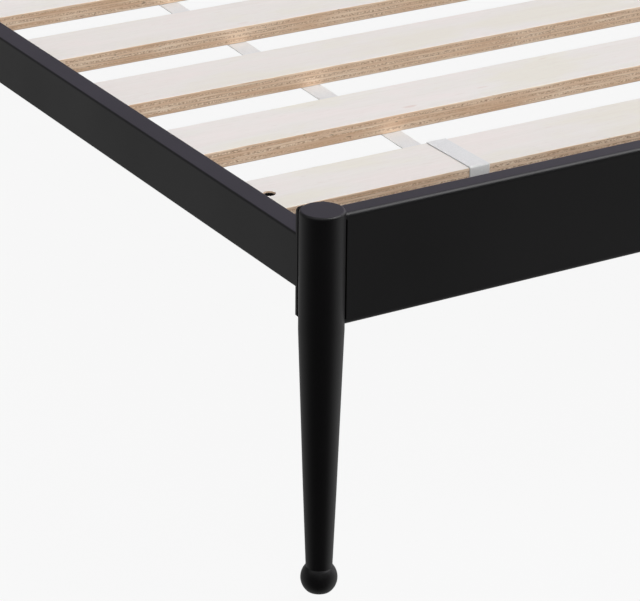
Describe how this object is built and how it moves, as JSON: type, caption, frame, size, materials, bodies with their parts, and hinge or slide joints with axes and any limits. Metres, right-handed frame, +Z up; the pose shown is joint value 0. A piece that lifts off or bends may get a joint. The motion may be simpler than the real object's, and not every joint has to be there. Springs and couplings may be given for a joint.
{
  "type": "metal bed frame",
  "caption": "Low platform bed frame: round tapered steel legs on ball feet, deep end rails, slimmer side rails and a lift-out deck of plywood slats.",
  "frame": {"origin": "on the floor, at the middle of the bed's footprint", "axes": "+Z up; +Y along the side rails towards the head end; +X across the bed, to the right of someone looking from the foot end to the head end"},
  "size_m": [1.598, 2.127, 0.374],
  "materials": {
    "powder_coat": "satin black powder coat, faint fine texture",
    "black_fastener": "black oxide",
    "zinc_steel": "bright zinc plate",
    "black_plastic": "moulded, matt",
    "plywood": "bare sanded plywood, pale face veneer and banded edges",
    "webbing": "white woven webbing"
  },
  "bodies": {
    "frame": {"post_front_left": "powder_coat", "post_front_right": "powder_coat", "post_rear_left": "powder_coat", "post_rear_right": "powder_coat", "post_caps": "powder_coat", "ball_foot_front_left": "powder_coat", "ball_foot_front_right": "powder_coat", "ball_foot_rear_left": "powder_coat", "ball_foot_rear_right": "powder_coat", "foot_glides": "black_plastic", "foot_end_rail": "powder_coat", "head_end_rail": "powder_coat", "end_rail_plugs": "powder_coat", "end_rail_welds": "powder_coat", "side_rail_left": "powder_coat", "side_rail_right": "powder_coat", "bracket_front_left": "powder_coat", "bracket_front_right": "powder_coat", "bracket_rear_left": "powder_coat", "bracket_rear_right": "powder_coat", "rail_bolts": "black_fastener", "rail_washers": "zinc_steel", "rail_nuts": "zinc_steel", "ledge_left": "powder_coat", "ledge_right": "powder_coat", "locating_pins": "powder_coat", "centre_beam": "powder_coat", "beam_hanger_foot": "powder_coat", "beam_hanger_head": "powder_coat", "hanger_screws": "black_fastener", "centre_leg_foot": "powder_coat", "centre_leg_head": "powder_coat", "leg_plates": "powder_coat", "leg_screws": "black_fastener", "leg_inserts": "black_plastic"},
    "slat_deck": {"slat_01": "plywood", "slat_02": "plywood", "slat_03": "plywood", "slat_04": "plywood", "slat_05": "plywood", "slat_06": "plywood", "slat_07": "plywood", "slat_08": "plywood", "slat_09": "plywood", "slat_10": "plywood", "slat_11": "plywood", "slat_12": "plywood", "slat_13": "plywood", "strap_left": "webbing", "strap_right": "webbing", "strap_staples": "zinc_steel"},
    "leveller_pad_foot": {"leveller_pad_foot": "black_plastic"},
    "leveller_stud_foot": {"leveller_stud_foot": "zinc_steel"},
    "leveller_pad_head": {"leveller_pad_head": "black_plastic"},
    "leveller_stud_head": {"leveller_stud_head": "zinc_steel"}
  },
  "joints": [
    {"name": "slat_deck_lift", "type": "slide", "parent": "frame", "child": "slat_deck", "axis": [0, 0, 1], "range_m": [0, 0.25]},
    {"name": "leveller_drop_foot", "type": "slide", "parent": "frame", "child": "leveller_pad_foot", "axis": [0, 0, -1], "range_m": [0, 0.012]},
    {"name": "leveller_turn_foot", "type": "hinge", "parent": "leveller_pad_foot", "child": "leveller_stud_foot", "pos_m": [0, -0.59, 0.012], "axis": [0, 0, -1], "range_deg": [0, 2880]},
    {"name": "leveller_drop_head", "type": "slide", "parent": "frame", "child": "leveller_pad_head", "axis": [0, 0, -1], "range_m": [0, 0.012]},
    {"name": "leveller_turn_head", "type": "hinge", "parent": "leveller_pad_head", "child": "leveller_stud_head", "pos_m": [0, 0.59, 0.012], "axis": [0, 0, -1], "range_deg": [0, 2880]}
  ],
  "couplings": [
    {"joint": "leveller_turn_foot", "follows": "leveller_drop_foot", "rad_per_m": 4188.8},
    {"joint": "leveller_turn_head", "follows": "leveller_drop_head", "rad_per_m": 4188.8}
  ]
}
